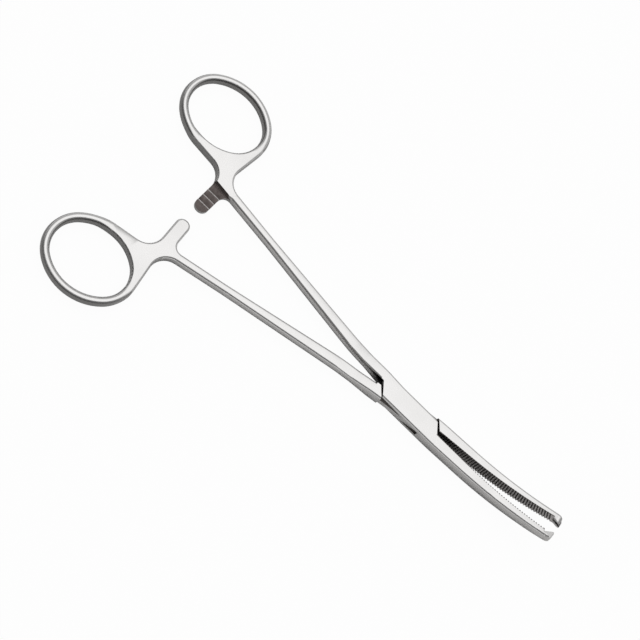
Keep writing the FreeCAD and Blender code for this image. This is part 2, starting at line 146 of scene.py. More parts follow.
SATIN_LIGHT: Colour = (0.76, 0.752, 0.745)
SATIN_DARK: Colour = (0.71, 0.702, 0.695)
# Painted shade: the upright walls are a darker copy of the satin steel, for the dimmer light that they
# reflect
WALL_PAINTED_SHADE_LIGHT: Colour = (0.56, 0.55, 0.54)
WALL_PAINTED_SHADE_DARK: Colour = (0.47, 0.46, 0.452)
# Painted shade on the rings' upright sides
RING_PAINTED_SHADE: Colour = (0.230, 0.225, 0.220)
CUT_LIGHT: Colour = (0.225, 0.193, 0.184)
CUT_DARK: Colour = (0.180, 0.154, 0.147)
# Painted shade down the ratchet's notches
CUT_PAINTED_SHADE: Colour = (0.125, 0.106, 0.100)
# Wear and painted highlight on the ratchet's crests
WORN_CREST_HIGHLIGHT: Colour = (0.50, 0.48, 0.47)
BITE_LIGHT: Colour = (0.52, 0.50, 0.49)
BITE_DARK: Colour = (0.42, 0.40, 0.39)
# Painted shade down the serrations' grooves
BITE_PAINTED_SHADE: Colour = (0.16, 0.15, 0.145)
# Painted shade on the serrations next to the lock
BITE_PAINTED_SHADE_NEAR_LOCK: Colour = (0.045, 0.042, 0.040)
# Painted shadow along the jaw's biting edge
EDGE_PAINTED_SHADOW: Colour = (0.10, 0.095, 0.09)
# Dull steel inside the lock, darkened further as painted shade in its gaps
LOCK_DULL_AND_PAINTED_SHADE_LIGHT: Colour = (0.130, 0.120, 0.113)
LOCK_DULL_AND_PAINTED_SHADE_DARK: Colour = (0.060, 0.054, 0.050)
# Painted shade at the crotch
CROTCH_PAINTED_SHADE: Colour = (0.018, 0.016, 0.015)

SATIN_FINISH = SteelFinish(
    light=SATIN_LIGHT, dark=SATIN_DARK, smooth=0.20, dull=0.28, line_pitch=0.10 * MM,
    line_length=2.5 * MM, line_depth=0.002 * MM, patch_size=9.0 * MM,
)
# The walls' finish is the satin's with darker colours, as painted shade
WALL_PAINTED_SHADE_FINISH = replace(SATIN_FINISH, light=WALL_PAINTED_SHADE_LIGHT, dark=WALL_PAINTED_SHADE_DARK)
CUT_FINISH = SteelFinish(
    light=CUT_LIGHT, dark=CUT_DARK, smooth=0.58, dull=0.74, line_pitch=0.12 * MM,
    line_length=0.9 * MM, line_depth=0.015 * MM, patch_size=1.2 * MM,
)
BITE_FINISH = SteelFinish(
    light=BITE_LIGHT, dark=BITE_DARK, smooth=0.34, dull=0.5, line_pitch=0.10 * MM,
    line_length=0.6 * MM, line_depth=0.008 * MM, patch_size=0.8 * MM,
)
# The lock's inner faces: dull steel, darkened further as painted shade
LOCK_DULL_AND_PAINTED_SHADE_FINISH = SteelFinish(
    light=LOCK_DULL_AND_PAINTED_SHADE_LIGHT, dark=LOCK_DULL_AND_PAINTED_SHADE_DARK, smooth=0.35, dull=0.6, line_pitch=0.12 * MM,
    line_length=1.5 * MM, line_depth=0.01 * MM, patch_size=2.0 * MM,
)


@dataclass(frozen=True)
class ClosedFrame:
    """A half's own frame, in which it is closed and its shank lies on +Y.

    Attributes:
        opening: Turn of the half at rest from its closed place, in degrees.
        side: 1 where the shank lies on +Y at rest, and -1 where it is mirrored.
    """

    opening: float
    side: int

    def inward(self, point: Vector) -> Vector:
        """Take a point or a normal from its place at rest into the closed frame.

        Args:
            point: The point or normal at rest.

        Returns:
            The same in the closed frame.
        """
        turned = Matrix.Rotation(-math.radians(self.opening), 3, "Z") @ point
        return Vector((turned.x, turned.y * self.side, turned.z))

    def outward(self, point: Vector) -> Vector:
        """Take a point or a normal from the closed frame to its place at rest.

        Args:
            point: The point or normal in the closed frame.

        Returns:
            The same at rest.
        """
        mirrored = Vector((point.x, point.y * self.side, point.z))
        return Matrix.Rotation(math.radians(self.opening), 3, "Z") @ mirrored


BOX_FRAME = ClosedFrame(opening=-2.6, side=1)
TONGUE_FRAME = ClosedFrame(opening=2.6, side=-1)


class NodeGroups:
    """Shader node groups that more than one finish uses, each built once."""

    def __init__(self) -> None:
        """Build the groups."""
        self.grain = self._build_grain()
        self.fade = self._build_fade()
        self.stripes = self._build_stripes()

    @staticmethod
    def _new_group(name: str, inputs: list[str], outputs: list[str]) -> bpy.types.NodeTree:
        """Start a shader node group.

        Args:
            name: Name of the group.
            inputs: Input names. "Place" is a vector, and the others are numbers.
            outputs: Names of the outputs, which are numbers.

        Returns:
            The group, with its input and output nodes in place.
        """
        group = bpy.data.node_groups.new(name, "ShaderNodeTree")
        for socket in inputs:
            kind = "NodeSocketVector" if socket == "Place" else "NodeSocketFloat"
            group.interface.new_socket(socket, in_out="INPUT", socket_type=kind)
        for socket in outputs:
            group.interface.new_socket(socket, in_out="OUTPUT", socket_type="NodeSocketFloat")
        group.nodes.new("NodeGroupInput").name = "Inputs"
        group.nodes.new("NodeGroupOutput").name = "Outputs"
        return group

    @staticmethod
    def _math(
        group: bpy.types.NodeTree, operation: str, first: Socket, second: Socket | float | None = None
    ) -> Socket:
        """Add a Math node.

        Args:
            group: The group to add it to.
            operation: What it does.
            first: Its first input.
            second: Its second input, a socket or a number, where it has one.

        Returns:
            Its output.
        """
        node = group.nodes.new("ShaderNodeMath")
        node.operation = operation
        group.links.new(first, node.inputs[0])
        if isinstance(second, float):
            node.inputs[1].default_value = second
        elif second is not None:
            group.links.new(second, node.inputs[1])
        return node.outputs["Value"]

    def _build_grain(self) -> bpy.types.NodeTree:
        """Polishing lines along one axis, over slow brighter and duller patches.

        Returns:
            The group, whose outputs run from 0 to 1.
        """
        group = self._new_group(
            "polishing grain", ["Place", "Along", "Across", "Patches"], ["Lines", "Patches"]
        )
        nodes, link = group.nodes, group.links.new
        given, result = nodes["Inputs"], nodes["Outputs"]
        stretch = nodes.new("ShaderNodeCombineXYZ")
        link(given.outputs["Along"], stretch.inputs["X"])
        link(given.outputs["Across"], stretch.inputs["Y"])
        link(given.outputs["Across"], stretch.inputs["Z"])
        scaled = nodes.new("ShaderNodeVectorMath")
        scaled.operation = "MULTIPLY"
        link(given.outputs["Place"], scaled.inputs[0])
        link(stretch.outputs["Vector"], scaled.inputs[1])
        lines = nodes.new("ShaderNodeTexNoise")
        lines.inputs["Scale"].default_value = 1.0
        lines.inputs["Detail"].default_value = 3.0
        link(scaled.outputs["Vector"], lines.inputs["Vector"])
        link(lines.outputs["Fac"], result.inputs["Lines"])
        patches = nodes.new("ShaderNodeTexNoise")
        patches.inputs["Detail"].default_value = 4.0
        link(given.outputs["Place"], patches.inputs["Vector"])
        link(given.outputs["Patches"], patches.inputs["Scale"])
        link(patches.outputs["Fac"], result.inputs["Patches"])
        return group

    def _build_fade(self) -> bpy.types.NodeTree:
        """Soft step along one coordinate.

        Returns:
            The group, whose mask is 0 at the start and 1 at the end.
        """
        group = self._new_group("fade", ["Coordinate", "Start", "End"], ["Mask"])
        nodes, link = group.nodes, group.links.new
        given, result = nodes["Inputs"], nodes["Outputs"]
        ranged = nodes.new("ShaderNodeMapRange")
        ranged.interpolation_type = "SMOOTHSTEP"
        link(given.outputs["Coordinate"], ranged.inputs["Value"])
        link(given.outputs["Start"], ranged.inputs["From Min"])
        link(given.outputs["End"], ranged.inputs["From Max"])
        link(ranged.outputs["Result"], result.inputs["Mask"])
        return group

    def _build_stripes(self) -> bpy.types.NodeTree:
        """Evenly spaced lines along one coordinate.

        Returns:
            The group, whose mask is 1 on a line.
        """
        group = self._new_group("stripes", ["Coordinate", "First", "Pitch", "Width", "Count"], ["Mask"])
        given, result = group.nodes["Inputs"], group.nodes["Outputs"]
        past = self._math(group, "SUBTRACT", given.outputs["Coordinate"], given.outputs["First"])
        steps = self._math(group, "DIVIDE", past, given.outputs["Pitch"])
        nearest = self._math(group, "ROUND", steps)
        apart = self._math(group, "ABSOLUTE", self._math(group, "SUBTRACT", steps, nearest))
        reach = self._math(group, "MULTIPLY", apart, given.outputs["Pitch"])
        half_width = self._math(group, "MULTIPLY", given.outputs["Width"], 0.5)
        on_line = self._math(group, "LESS_THAN", reach, half_width)
        not_before = self._math(group, "GREATER_THAN", nearest, -0.5)
        last = self._math(group, "SUBTRACT", given.outputs["Count"], 0.5)
        not_after = self._math(group, "LESS_THAN", nearest, last)
        inside = self._math(group, "MULTIPLY", not_before, not_after)
        group.links.new(self._math(group, "MULTIPLY", on_line, inside), result.inputs["Mask"])
        return group


class SteelMaker:
    """Makes the materials of the instrument from their finishes."""

    # Stretch of the patches' noise over which the roughness runs from smooth to dull
    PATCH_RANGE = (0.3, 0.7)

    def __init__(self, groups: NodeGroups) -> None:
        """Keep the shared node groups.

        Args:
            groups: The shader node groups that the materials use.
        """
        self.groups = groups

    def _closed_place(self, tree: bpy.types.NodeTree, closed: ClosedFrame) -> Socket:
        """Object coordinates, turned into a half's closed frame.

        Args:
            tree: Node tree of the material.
            closed: The half's closed frame.

        Returns:
            The vector output.
        """
        place = tree.nodes.new("ShaderNodeTexCoord")
        turn = tree.nodes.new("ShaderNodeMapping")
        turn.inputs["Scale"].default_value = (1.0, closed.side, 1.0)
        turn.inputs["Rotation"].default_value = (0.0, 0.0, -math.radians(closed.opening) * closed.side)
        tree.links.new(place.outputs["Object"], turn.inputs["Vector"])
        return turn.outputs["Vector"]

    def _mask(self, tree: bpy.types.NodeTree, coordinate: Socket, pattern: Fade | Stripes) -> Socket:
        """Place the group of a pattern.

        Args:
            tree: Node tree of the material.
            coordinate: The coordinate that the pattern follows.
            pattern: The pattern.

        Returns:
            The mask output.
        """
        node = tree.nodes.new("ShaderNodeGroup")
        if isinstance(pattern, Fade):
            node.node_tree = self.groups.fade
            values = {"Start": pattern.start, "End": pattern.end}
        else:
            node.node_tree = self.groups.stripes
            values = {
                "First": pattern.first, "Pitch": pattern.pitch, "Width": pattern.width,
                "Count": pattern.count,
            }
        for socket, value in values.items():
            node.inputs[socket].default_value = value
        tree.links.new(coordinate, node.inputs["Coordinate"])
        return node.outputs["Mask"]

    @staticmethod
    def _blend(tree: bpy.types.NodeTree, mask: Socket, below: Socket | Colour, above: Colour) -> Socket:
        """Mix two colours by a mask.

        Args:
            tree: Node tree of the material.
            mask: Share of the second colour.
            below: First colour.
            above: Second colour.

        Returns:
            The colour output.
        """
        mix = tree.nodes.new("ShaderNodeMix")
        mix.data_type = "RGBA"
        # An RGBA Mix node keeps its colour sockets after those of the number and vector kinds
        first, second, mixed = mix.inputs[6], mix.inputs[7], mix.outputs[2]
        tree.links.new(mask, mix.inputs["Factor"])
        if isinstance(below, tuple):
            first.default_value = (*below, 1.0)
        else:
            tree.links.new(below, first)
        second.default_value = (*above, 1.0)
        return mixed

    def make(
        self,
        name: str,
        finish: SteelFinish,
        closed: ClosedFrame,
        patterns: tuple[Fade | Stripes, ...] = (),
    ) -> bpy.types.Material:
        """Make one steel material.

        Args:
            name: Name of the material.
            finish: The finish to follow.
            closed: Frame that the grain and the patterns lie in.
            patterns: Fades and lines over the finish, the last on top.

        Returns:
            The material.
        """
        material = bpy.data.materials.new(name)
        material.use_nodes = True
        tree = material.node_tree
        link = tree.links.new
        steel = tree.nodes["Principled BSDF"]
        steel.inputs["Metallic"].default_value = 1.0
        place = self._closed_place(tree, closed)
        grain = tree.nodes.new("ShaderNodeGroup")
        grain.node_tree = self.groups.grain
        grain.inputs["Along"].default_value = 1.0 / finish.line_length
        grain.inputs["Across"].default_value = 1.0 / finish.line_pitch
        grain.inputs["Patches"].default_value = 1.0 / finish.patch_size
        link(place, grain.inputs["Place"])
        colour = self._blend(tree, grain.outputs["Patches"], finish.light, finish.dark)
        parts = tree.nodes.new("ShaderNodeSeparateXYZ")
        link(place, parts.inputs["Vector"])
        for pattern in patterns:
            mask = self._mask(tree, parts.outputs[pattern.axis], pattern)
            colour = self._blend(tree, mask, colour, pattern.colour)
        link(colour, steel.inputs["Base Color"])
        rough = tree.nodes.new("ShaderNodeMapRange")
        rough.inputs["From Min"].default_value = self.PATCH_RANGE[0]
        rough.inputs["From Max"].default_value = self.PATCH_RANGE[1]
        rough.inputs["To Min"].default_value = finish.smooth
        rough.inputs["To Max"].default_value = finish.dull
        link(grain.outputs["Patches"], rough.inputs["Value"])
        link(rough.outputs["Result"], steel.inputs["Roughness"])
        bump = tree.nodes.new("ShaderNodeBump")
        bump.inputs["Strength"].default_value = 1.0
        bump.inputs["Distance"].default_value = finish.line_depth
        link(grain.outputs["Lines"], bump.inputs["Height"])
        link(bump.outputs["Normal"], steel.inputs["Normal"])
        return material


@dataclass(frozen=True)
class JawBend:
    """The curve of the jaws in the side view, in a half's closed frame.

    Attributes:
        start: Pivot to where the jaw starts to curve up.
        reach: Pivot to the jaw's tip.
        rise: Middle of the tip above the middle of the box.
        box_thickness: Thickness of the box.
        tip_height: Height of the biting face at the tip.
        tip_corner: Radius of the tip's upper and lower corners.
    """

    start: float = 22.0 * MM
    reach: float = 52.3 * MM
    rise: float = 6.9 * MM
    box_thickness: float = 5.3 * MM
    tip_height: float = 4.1 * MM
    tip_corner: float = 1.6 * MM

    def radius(self, side: int) -> float:
        """Radius of the jaw's top (1) or bottom (-1) edge.

        Args:
            side: Which edge.

        Returns:
            The radius.
        """
        run = self.reach - self.start
        turn = 2 * math.atan2(self.rise, run)
        along = Vector((math.cos(turn), math.sin(turn)))
        up = Vector((-math.sin(turn), math.cos(turn)))
        tip = Vector((self.reach, self.rise))
        end = tip + up * (side * self.tip_height / 2) - along * self.tip_corner
        offset = end - Vector((self.start, side * self.box_thickness / 2))
        return offset.length_squared / (2 * offset.y)

    def edge_at(self, x: float, side: int) -> tuple[float, Vector]:
        """Height and outward normal of the jaw's top or bottom.

        Args:
            x: Distance from the pivot, past the bend's start.
            side: Which edge.

        Returns:
            Height above the floor, and the normal.
        """
        radius = self.radius(side)
        turn = math.asin(min(1.0, (x - self.start) / radius))
        height = self.box_thickness * (1 + side) / 2 + radius * (1 - math.cos(turn))
        return height, Vector((-math.sin(turn), 0.0, math.cos(turn))) * side


@dataclass(frozen=True)
class RingSection:
    """The finger ring as a rounded wire: an oval in plan, with an elliptical section.

    Attributes:
        centre: Middle of the ring in the closed frame.
        length: Outside length, along X.
        width: Outside width.
        flattening: Half the width less the radius of the oval's two ends.
        wire: Width of the wire, seen from above.
        thickness: Thickness of the wire.
        middle: Height of the wire's middle.
        neck_angle: Direction from the middle to the neck, in degrees.
        neck_reach: Half of the stretch that the neck takes up, in degrees.
        blend: Stretch over which the section turns from the neck's to the ring's, in degrees.
        slack: How far off the wire a point may lie and still count as on it.
    """

    centre: tuple[float, float] = (-93.35 * MM, 25.4 * MM)
    length: float = 28.7 * MM
    width: float = 24.5 * MM
    flattening: float = 1.25 * MM
    wire: float = 2.6 * MM
    thickness: float = 3.7 * MM
    middle: float = 2.65 * MM
    neck_angle: float = -50.0
    neck_reach: float = 46.0
    blend: float = 26.0
    slack: float = 0.05 * MM

    def across(self, point: Vector) -> tuple[float, Vector]:
        """Where a point lies across the wire.

        Args:
            point: The point, in the closed frame.

        Returns:
            Distance outward from the middle of the wire, and the outward direction in plan.
        """
        x, y = point.x - self.centre[0], point.y - self.centre[1]
        end_radius = self.width / 2 - self.flattening
        nose = self.length / 2 - end_radius
        rise = (nose ** 2 - self.flattening ** 2) / (2 * self.flattening)
        if abs(y) * nose < (abs(x) - nose) * rise:
            start, radius = Vector((math.copysign(nose, x), 0.0)), end_radius
        else:
            start, radius = Vector((0.0, -math.copysign(rise, y))), self.width / 2 + rise
        spoke = Vector((x, y)) - start
        outward = spoke.normalized()
        return spoke.length - radius + self.wire / 2, Vector((outward.x, outward.y, 0.0))

    def share(self, point: Vector) -> float:
        """How far the section at a point is the ring's own, from 0 at the neck to 1.

        Args:
            point: The point, in the closed frame.

        Returns:
            The share, or 0 where the point isn't on the wire.
        """
        distance, _ = self.across(point)
        if abs(distance) > self.wire / 2 + self.slack:
            return 0.0
        angle = math.degrees(math.atan2(point.y - self.centre[1], point.x - self.centre[0]))
        apart = abs((angle - self.neck_angle + 180.0) % 360.0 - 180.0)
        step = min(1.0, max(0.0, (apart - self.neck_reach) / self.blend))
        return step * step * (3 - 2 * step)

    def rounded(self, point: Vector) -> Vector:
        """Where a point of the bevelled wire goes on the rounded one.

        Args:
            point: The point, in the closed frame.

        Returns:
            The moved point.
        """
        distance, outward = self.across(point)
        height = point.z - self.middle
        reach = math.hypot(2 * distance / self.wire, 2 * height / self.thickness)
        shrink = self.share(point) * (1 / reach - 1)
        return point + outward * (distance * shrink) + Vector((0.0, 0.0, height * shrink))

    def normal_at(self, point: Vector) -> Vector:
        """Outward normal of the elliptical section.

        Args:
            point: A point of the rounded wire, in the closed frame.

        Returns:
            The normal.
        """
        distance, outward = self.across(point)
        lean = outward * (distance / self.wire ** 2)
        return (lean + Vector((0.0, 0.0, (point.z - self.middle) / self.thickness ** 2))).normalized()


class RoundedShading:
    """Corner normals that make the narrow flats along the polished edges read as one rounding.

    A corner takes the mean of the flat sheets that meet at its point, each by its area, so that a
    broad face stays flat up to its edge and only the narrow flats turn. An upright wall counts for
    little and turns with the flats at its edges. Sheets that meet at more than the limit, or that
    aren't polished, stay crisp.
    """

    LIMIT = math.cos(math.radians(30.0))
    SAME_SHEET = math.cos(math.radians(0.5))
    UPRIGHT = 0.05
    CURVED_WEIGHT = 50.0 * MM * MM
    WALL_WEIGHT = 0.02 * MM * MM

    def __init__(
        self, mesh: bpy.types.Mesh, polished: list[bool], curved: dict[tuple[int, int], Vector]
    ) -> None:
        """Find the sheets and their areas.

        Args:
            mesh: The mesh, with its double points joined.
            polished: Whether each face is polished.
            curved: Exact normals by face and point, where a face lies on a known curve.
        """
        self.mesh = mesh
        self.polished = polished
        self.curved = curved
        self.normals = [face.normal.copy() for face in mesh.polygons]
        self.sheets = self._find_sheets()
        self.areas: dict[int, float] = {}
        for face in mesh.polygons:
            sheet = self.sheets[face.index]
            self.areas[sheet] = self.areas.get(sheet, 0.0) + face.area
        for face in mesh.polygons:
            if polished[face.index] and abs(face.normal.z) < self.UPRIGHT:
                self.areas[self.sheets[face.index]] = self.WALL_WEIGHT
        for face_index, _ in curved:
            self.areas[self.sheets[face_index]] = self.CURVED_WEIGHT

    def _find_sheets(self) -> list[int]:
        """Number the flat sheets that neighbouring triangles make together.

        Returns:
            Number of each face's sheet.
        """
        owner = list(range(len(self.mesh.polygons)))

        def root(index: int) -> int:
            """Lowest number of the sheet that a face belongs to."""
            while owner[index] != index:
                owner[index] = owner[owner[index]]
                index = owner[index]
            return index

        first_at: dict[tuple[int, int], int] = {}
        for face in self.mesh.polygons:
            for key in face.edge_keys:
                other = first_at.setdefault(key, face.index)
                if other != face.index and self.normals[other].dot(face.normal) > self.SAME_SHEET:
                    low, high = sorted((root(other), root(face.index)))
                    owner[high] = low
        return [root(index) for index in range(len(owner))]

    def apply(self) -> None:
        """Work out the normals and give them to the mesh."""
        faces_at: list[list[int]] = [[] for _ in self.mesh.vertices]
        for face in self.mesh.polygons:
            for point in face.vertices:
                faces_at[point].append(face.index)
        corners = []
        for face in self.mesh.polygons:
            face.use_smooth = True
            for point in face.vertices:
                own = self.curved.get((face.index, point), self.normals[face.index])
                meeting = {self.sheets[face.index]: own}
                if self.polished[face.index]:
                    for other in faces_at[point]:
                        normal = self.curved.get((other, point), self.normals[other])
                        if self.polished[other] and normal.dot(own) > self.LIMIT:
                            meeting.setdefault(self.sheets[other], normal)
                total = sum((normal * self.areas[sheet] for sheet, normal in meeting.items()), Vector())
                corners.append(total.normalized())
        self.mesh.normals_split_custom_set(corners)


@dataclass
class SteelPiece:
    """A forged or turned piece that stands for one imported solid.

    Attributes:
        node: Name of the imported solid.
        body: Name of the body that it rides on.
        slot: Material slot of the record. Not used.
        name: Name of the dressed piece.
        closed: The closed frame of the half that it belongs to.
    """

    node: str
    body: str
    slot: str
    name: str
    closed: ClosedFrame

    def build(self, source: bpy.types.Object) -> bpy.types.Object:
        """Copy the solid and join its loose triangles.

        Args:
            source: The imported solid's object.

        Returns:
            The piece, without materials.
        """
        mesh = source.data.copy()
        mesh.name = self.name
        mesh.materials.clear()
        piece = bpy.data.objects.new(self.name, mesh)
        bpy.context.collection.objects.link(piece)
        select_only(piece)
        bpy.ops.object.mode_set(mode="EDIT")
        bpy.ops.mesh.select_all(action="SELECT")
        bpy.ops.mesh.remove_doubles(threshold=0.0015 * MM)
        bpy.ops.object.mode_set(mode="OBJECT")
        return piece

    def place(self, piece: bpy.types.Object) -> None:
        """Tell the frame what the piece rides on and stands for.

        Args:
            piece: The dressed piece.
        """
        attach(piece, self.body)
        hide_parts(self.node)


@dataclass
class ForgedHalf(SteelPiece):
    """One half of the instrument: ring, ratchet bar, shank, lock and jaw in one forging.

    Attributes:
        bar_face: Height of the ratchet bar's toothed face.
        bar_root: Height of the bottom of the ratchet's grooves.
        bar_span: X of the bar and its hollows.
        bar_lead: Y of the first groove's steep wall.
        tooth_pitch: Spacing of the ratchet's teeth.
        tooth_count: How many teeth the ratchet has.
        bite_start: X where the biting face begins.
        tip_start: X where the teeth at the jaw's tip begin.
        bite_depth: Y below which a groove's bottom lies.
        ring_front: X of the front of the finger ring.
        box_middle: Height of the middle of the box.
        lock_reach: Half length of the lock.
        tongue_reach: Half height of the slot, with room.
        slack: Room for rounding errors in heights.
        bend: The curve of the jaw.
        ring: The rounded section of the finger ring.
    """

    # Share of the wire's half width or half thickness that each end of an edge lies past, where
    # the edge runs right across a broad face of the ring, and how far off square it may run
    RING_SIDES = 0.4
    RING_SLACK = 0.1 * MM
    # Most that a normal's Z may be on the walls, on the ring's rounded sides and in the bite
    WALL_LEAN = 0.3
    RING_LEAN = 0.7
    BITE_LEAN = 0.5
    # Least that a normal's Z is on a level face, or that its Y is on the wall of the crotch
    SQUARE_ON = 0.9
    # Range of a normal's X on the lock's slanting shoulders
    SHOULDER_TURN = (0.5, 0.9)

    bar_face: float = 0.0
    bar_root: float = 0.0
    bar_span: tuple[float, float] = (-88.0 * MM, -72.5 * MM)
    bar_lead: float = 1.7 * MM
    tooth_pitch: float = 2.1 * MM
    tooth_count: int = 3
    bite_start: float = 10.3 * MM
    tip_start: float = 49.7 * MM
    bite_depth: float = 0.42 * MM
    ring_front: float = -79.0 * MM
    box_middle: float = 2.65 * MM
    lock_reach: float = 12.2 * MM
    tongue_reach: float = 1.3 * MM
    slack: float = 0.02 * MM
    bend: JawBend = JawBend()
    ring: RingSection = RingSection()

    def round_ring(self, piece: bpy.types.Object) -> None:
        """Give the finger ring its rounded section, with one more line along each broad face.

        Args:
            piece: The half's object.
        """
        shape = bmesh.new()
        shape.from_mesh(piece.data)
        middles = set()
        for edge in list(shape.edges):
            if self._spans_broad_face([self.closed.inward(point.co) for point in edge.verts]):
                _, middle = bmesh.utils.edge_split(edge, edge.verts[0], 0.5)
                middles.add(middle)
        for face in list(shape.faces):
            inner = [point for point in face.verts if point in middles]
            if len(inner) == 2:
                bmesh.utils.face_split(face, inner[0], inner[1])
        for point in shape.verts:
            spot = self.closed.inward(point.co)
            if self.ring.share(spot) > 0.0:
                point.co = self.closed.outward(self.ring.rounded(spot))
        bmesh.ops.triangulate(shape, faces=[face for face in shape.faces if len(face.verts) > 3])
        shape.to_mesh(piece.data)
        shape.free()

    def _spans_broad_face(self, ends: list[Vector]) -> bool:
        """Whether an edge runs right across one of the ring's broad faces.

        Args:
            ends: The edge's ends, in the closed frame.

        Returns:
            True for an edge across the top or the bottom, or up one of the sides.
        """
        if min(self.ring.share(end) for end in ends) == 0.0:
            return False
        side_limit = self.RING_SIDES * self.ring.wire / 2
        height_limit = self.RING_SIDES * self.ring.thickness / 2
        inner, outer = sorted(self.ring.across(end)[0] for end in ends)
        lower, upper = sorted(end.z - self.ring.middle for end in ends)
        over = inner < -side_limit and outer > side_limit and upper - lower < self.RING_SLACK
        upright = lower < -height_limit and upper > height_limit and outer - inner < self.RING_SLACK
        return over or upright

    def ring_normals(self, mesh: bpy.types.Mesh, spots: list[Vector]) -> dict[tuple[int, int], Vector]:
        """Normals on the rounded ring.

        Args:
            mesh: The half's mesh.
            spots: Its points in the closed frame.

        Returns:
            Normals by face and point.
        """
        exact = {}
        for face in mesh.polygons:
            for index in face.vertices:
                share = self.ring.share(spots[index])
                if share > 0.0:
                    rounded = self.closed.outward(self.ring.normal_at(spots[index]))
                    exact[(face.index, index)] = face.normal.lerp(rounded, share).normalized()
        return exact

    def region_of(self, corners: list[Vector], normal: Vector) -> Region:
        """Which kind of surface a face belongs to.

        Args:
            corners: The face's corners, in the closed frame.
            normal: Its normal there.

        Returns:
            The region.
        """
        centre = sum(corners, Vector()) / len(corners)
        if self._is_on_bar(corners, centre):
            return Region.RATCHET
        in_bite = max(abs(corner.y) for corner in corners) < self.bite_depth
        if in_bite and centre.x > self.bite_start and abs(normal.z) < self.BITE_LEAN:
            return Region.SERRATION
        if self._is_in_lock(centre, normal):
            return Region.LOCK
        past_line = min(corner.y for corner in corners) > 0.0
        if past_line and self.bar_span[1] < centre.x < 0.0 and normal.y < -self.SQUARE_ON:
            return Region.CROTCH
        wall_lean = self.WALL_LEAN if centre.x > self.ring_front else self.RING_LEAN
        at_end = centre.x > self.tip_start and normal.x > self.WALL_LEAN
        if at_end or abs(normal.z) < wall_lean:
            return Region.WALL
        return Region.JAW if self.bite_start < centre.x < self.tip_start else Region.SATIN

    def _is_on_bar(self, corners: list[Vector], centre: Vector) -> bool:
        """Whether a face lies between the ratchet bar's toothed face and its grooves' bottom.

        Args:
            corners: The face's corners, in the closed frame.
            centre: Their middle.

        Returns:
            True for the toothed side of the bar.
        """
        low, high = sorted((self.bar_face, self.bar_root))
        heights = [corner.z for corner in corners]
        level = low - self.slack < min(heights) and max(heights) < high + self.slack
        return level and self.bar_span[0] < centre.x < self.bar_span[1]

    def _is_in_lock(self, centre: Vector, normal: Vector) -> bool:
        """Whether a face is a slanting shoulder of the lock, or lies in its slot or on its tongue.

        Args:
            centre: Middle of the face, in the closed frame.
            normal: Its normal there.

        Returns:
            True for the inside of the lock.
        """
        if abs(centre.x) > self.lock_reach:
            return False
        low_turn, high_turn = self.SHOULDER_TURN
        slanting = abs(normal.z) < 0.1 and low_turn < abs(normal.x) < high_turn
        level = abs(normal.z) > self.SQUARE_ON
        return slanting or (level and abs(centre.z - self.box_middle) < self.tongue_reach)

    def finishes(self) -> dict[Region, tuple[SteelFinish, tuple[Fade | Stripes, ...]]]:
        """The finish of each region.

        Returns:
            The finish and the patterns over it, by region.
        """
        # Painted shade: the crotch's wall darkens towards the lock
        crotch = Fade(colour=CROTCH_PAINTED_SHADE, axis=0, start=-16.5 * MM, end=-11.5 * MM)
        bar_end = Fade(colour=CUT_DARK, axis=1, start=2.2 * MM, end=1.2 * MM)
        # Painted shade: the cut face darkens with depth down the notches
        notch_painted_shade = Fade(colour=CUT_PAINTED_SHADE, axis=2, start=self.bar_face, end=self.bar_root)
        # The crests of the ratchet's teeth are lighter, as wear and as painted highlight
        worn_crest_highlight = Stripes(
            colour=WORN_CREST_HIGHLIGHT, axis=1, first=self.bar_lead - 0.14 * MM, pitch=self.tooth_pitch,
            width=0.3 * MM, count=self.tooth_count,
        )
        # Painted shade: the biting face darkens into the grooves
        grooves = Fade(colour=BITE_PAINTED_SHADE, axis=1, start=-0.08 * MM, end=-0.26 * MM)
        # Painted shade: the serrations darken towards the lock
        lock_side_painted_shade = Fade(colour=BITE_PAINTED_SHADE_NEAR_LOCK, axis=0, start=21.0 * MM, end=11.0 * MM)
        # Painted shadow along the top of the biting edge, dotted where the notches cut it
        edge_painted_shadow = Stripes(
            colour=EDGE_PAINTED_SHADOW, axis=1, first=-0.16 * MM, pitch=1.0, width=0.32 * MM, count=1,
        )
        # Painted shade: the walls darken along X from the neck onto the ring's sides
        ring_side_painted_shade = Fade(colour=RING_PAINTED_SHADE, axis=0, start=-68.0 * MM, end=-86.0 * MM)
        return {
            Region.SATIN: (SATIN_FINISH, ()),
            Region.JAW: (SATIN_FINISH, (edge_painted_shadow,)),
            Region.WALL: (WALL_PAINTED_SHADE_FINISH, (ring_side_painted_shade,)),
            Region.CROTCH: (WALL_PAINTED_SHADE_FINISH, (crotch,)),
            Region.RATCHET: (CUT_FINISH, (bar_end, notch_painted_shade, worn_crest_highlight)),
            Region.SERRATION: (BITE_FINISH, (grooves, lock_side_painted_shade)),
            Region.LOCK: (LOCK_DULL_AND_PAINTED_SHADE_FINISH, ()),
        }

    def bend_normals(self, mesh: bpy.types.Mesh, spots: list[Vector]) -> dict[tuple[int, int], Vector]:
        """Exact normals of the faces on the jaw's curved top and bottom.

        Args:
            mesh: The half's mesh.
            spots: Its points in the closed frame.

        Returns:
            Normals by face and point.
        """
        slack = 0.03 * MM
        exact = {}
        for face in mesh.polygons:
            side = 1 if face.normal.z > 0 else -1
            points = [spots[index] for index in face.vertices]
            level = abs(self.closed.inward(face.normal).y) < 0.05 and abs(face.normal.z) > 0.8
            if not level or min(point.x for point in points) < self.bend.start - slack:
                continue
            edges = [self.bend.edge_at(point.x, side) for point in points]
            if max(abs(edge[0] - point.z) for edge, point in zip(edges, points)) < slack:
                for index, (_, normal) in zip(face.vertices, edges):
                    exact[(face.index, index)] = self.closed.outward(normal)
        return exact

